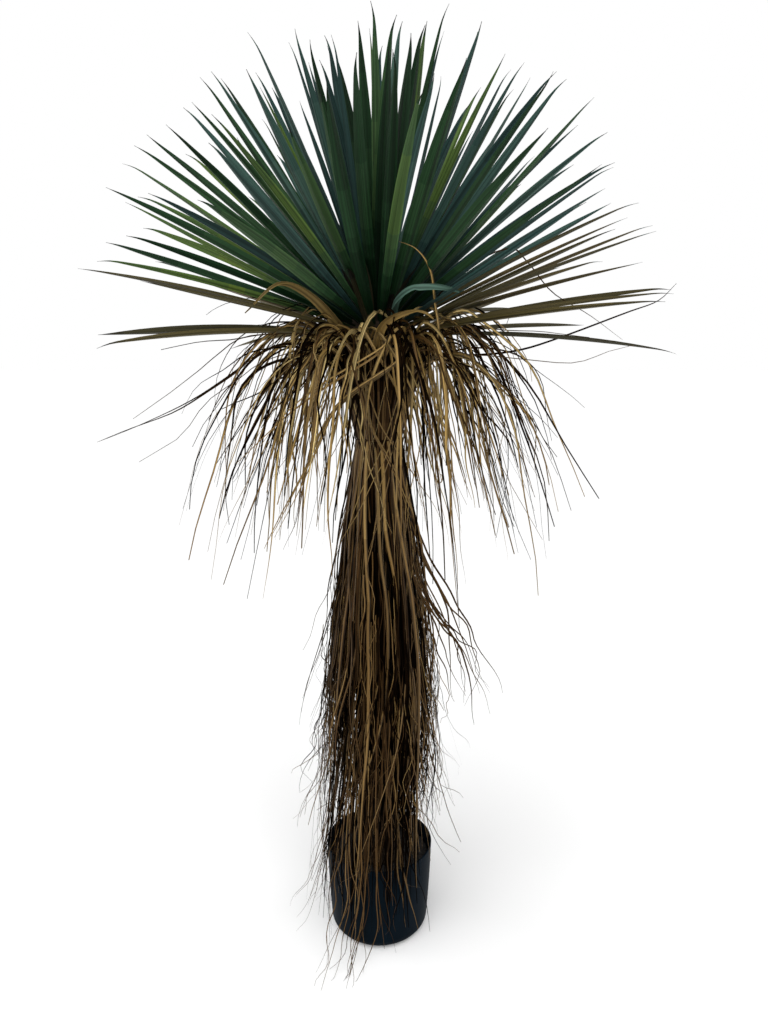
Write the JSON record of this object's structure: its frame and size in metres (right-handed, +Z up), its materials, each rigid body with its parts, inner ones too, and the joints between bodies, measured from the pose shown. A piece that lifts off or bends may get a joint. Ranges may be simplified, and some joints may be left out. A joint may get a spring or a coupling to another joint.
{
  "type": "artificial beaked yucca tree in a pot",
  "caption": "Artificial beaked yucca in a plain round pot: a half globe of stiff green sword leaves over a drooping skirt of dead leaves and a trunk hung with dry thatch.",
  "frame": {"origin": "middle of the pot's flat underside, on the floor", "axes": "+Z up along the trunk, -Y towards the side that the picture shows, +X to that side's right"},
  "size_m": [0.96, 0.8556, 1.5849],
  "materials": {
    "pot": "satin dark blue-black plastic",
    "filling": "rough dark cement filling",
    "bark": "rough dark bark",
    "thatch": "dry brown strips",
    "dead_leaf": "dry ochre strips",
    "brown_leaf": "matt brown leaf",
    "deep_green": "satin dark green leaf",
    "blue_green": "satin blue-green leaf",
    "fresh_green": "satin yellow-green leaf"
  },
  "bodies": {
    "root": {"pot": "pot", "pot_fill": "filling", "trunk": "bark", "crown_heart": "fresh_green", "crown_whorl_1": "deep_green", "crown_whorl_2": "blue_green", "crown_whorl_3": "deep_green", "crown_whorl_4": "blue_green", "crown_whorl_5": "deep_green", "crown_whorl_6": "blue_green", "crown_whorl_7": "deep_green", "brown_whorl_1": "brown_leaf", "brown_whorl_2": "brown_leaf", "dead_skirt_1": "dead_leaf", "dead_skirt_2": "dead_leaf", "dead_skirt_3": "dead_leaf", "dead_skirt_4": "dead_leaf", "dead_skirt_5": "dead_leaf", "dead_skirt_6": "dead_leaf", "dead_skirt_7": "dead_leaf", "dead_skirt_8": "dead_leaf", "trunk_thatch_1": "thatch", "trunk_thatch_2": "thatch", "trunk_thatch_3": "thatch", "trunk_thatch_4": "thatch", "trunk_thatch_5": "thatch", "trunk_thatch_6": "thatch", "trunk_thatch_7": "thatch", "trunk_thatch_8": "thatch"}
  },
  "joints": []
}
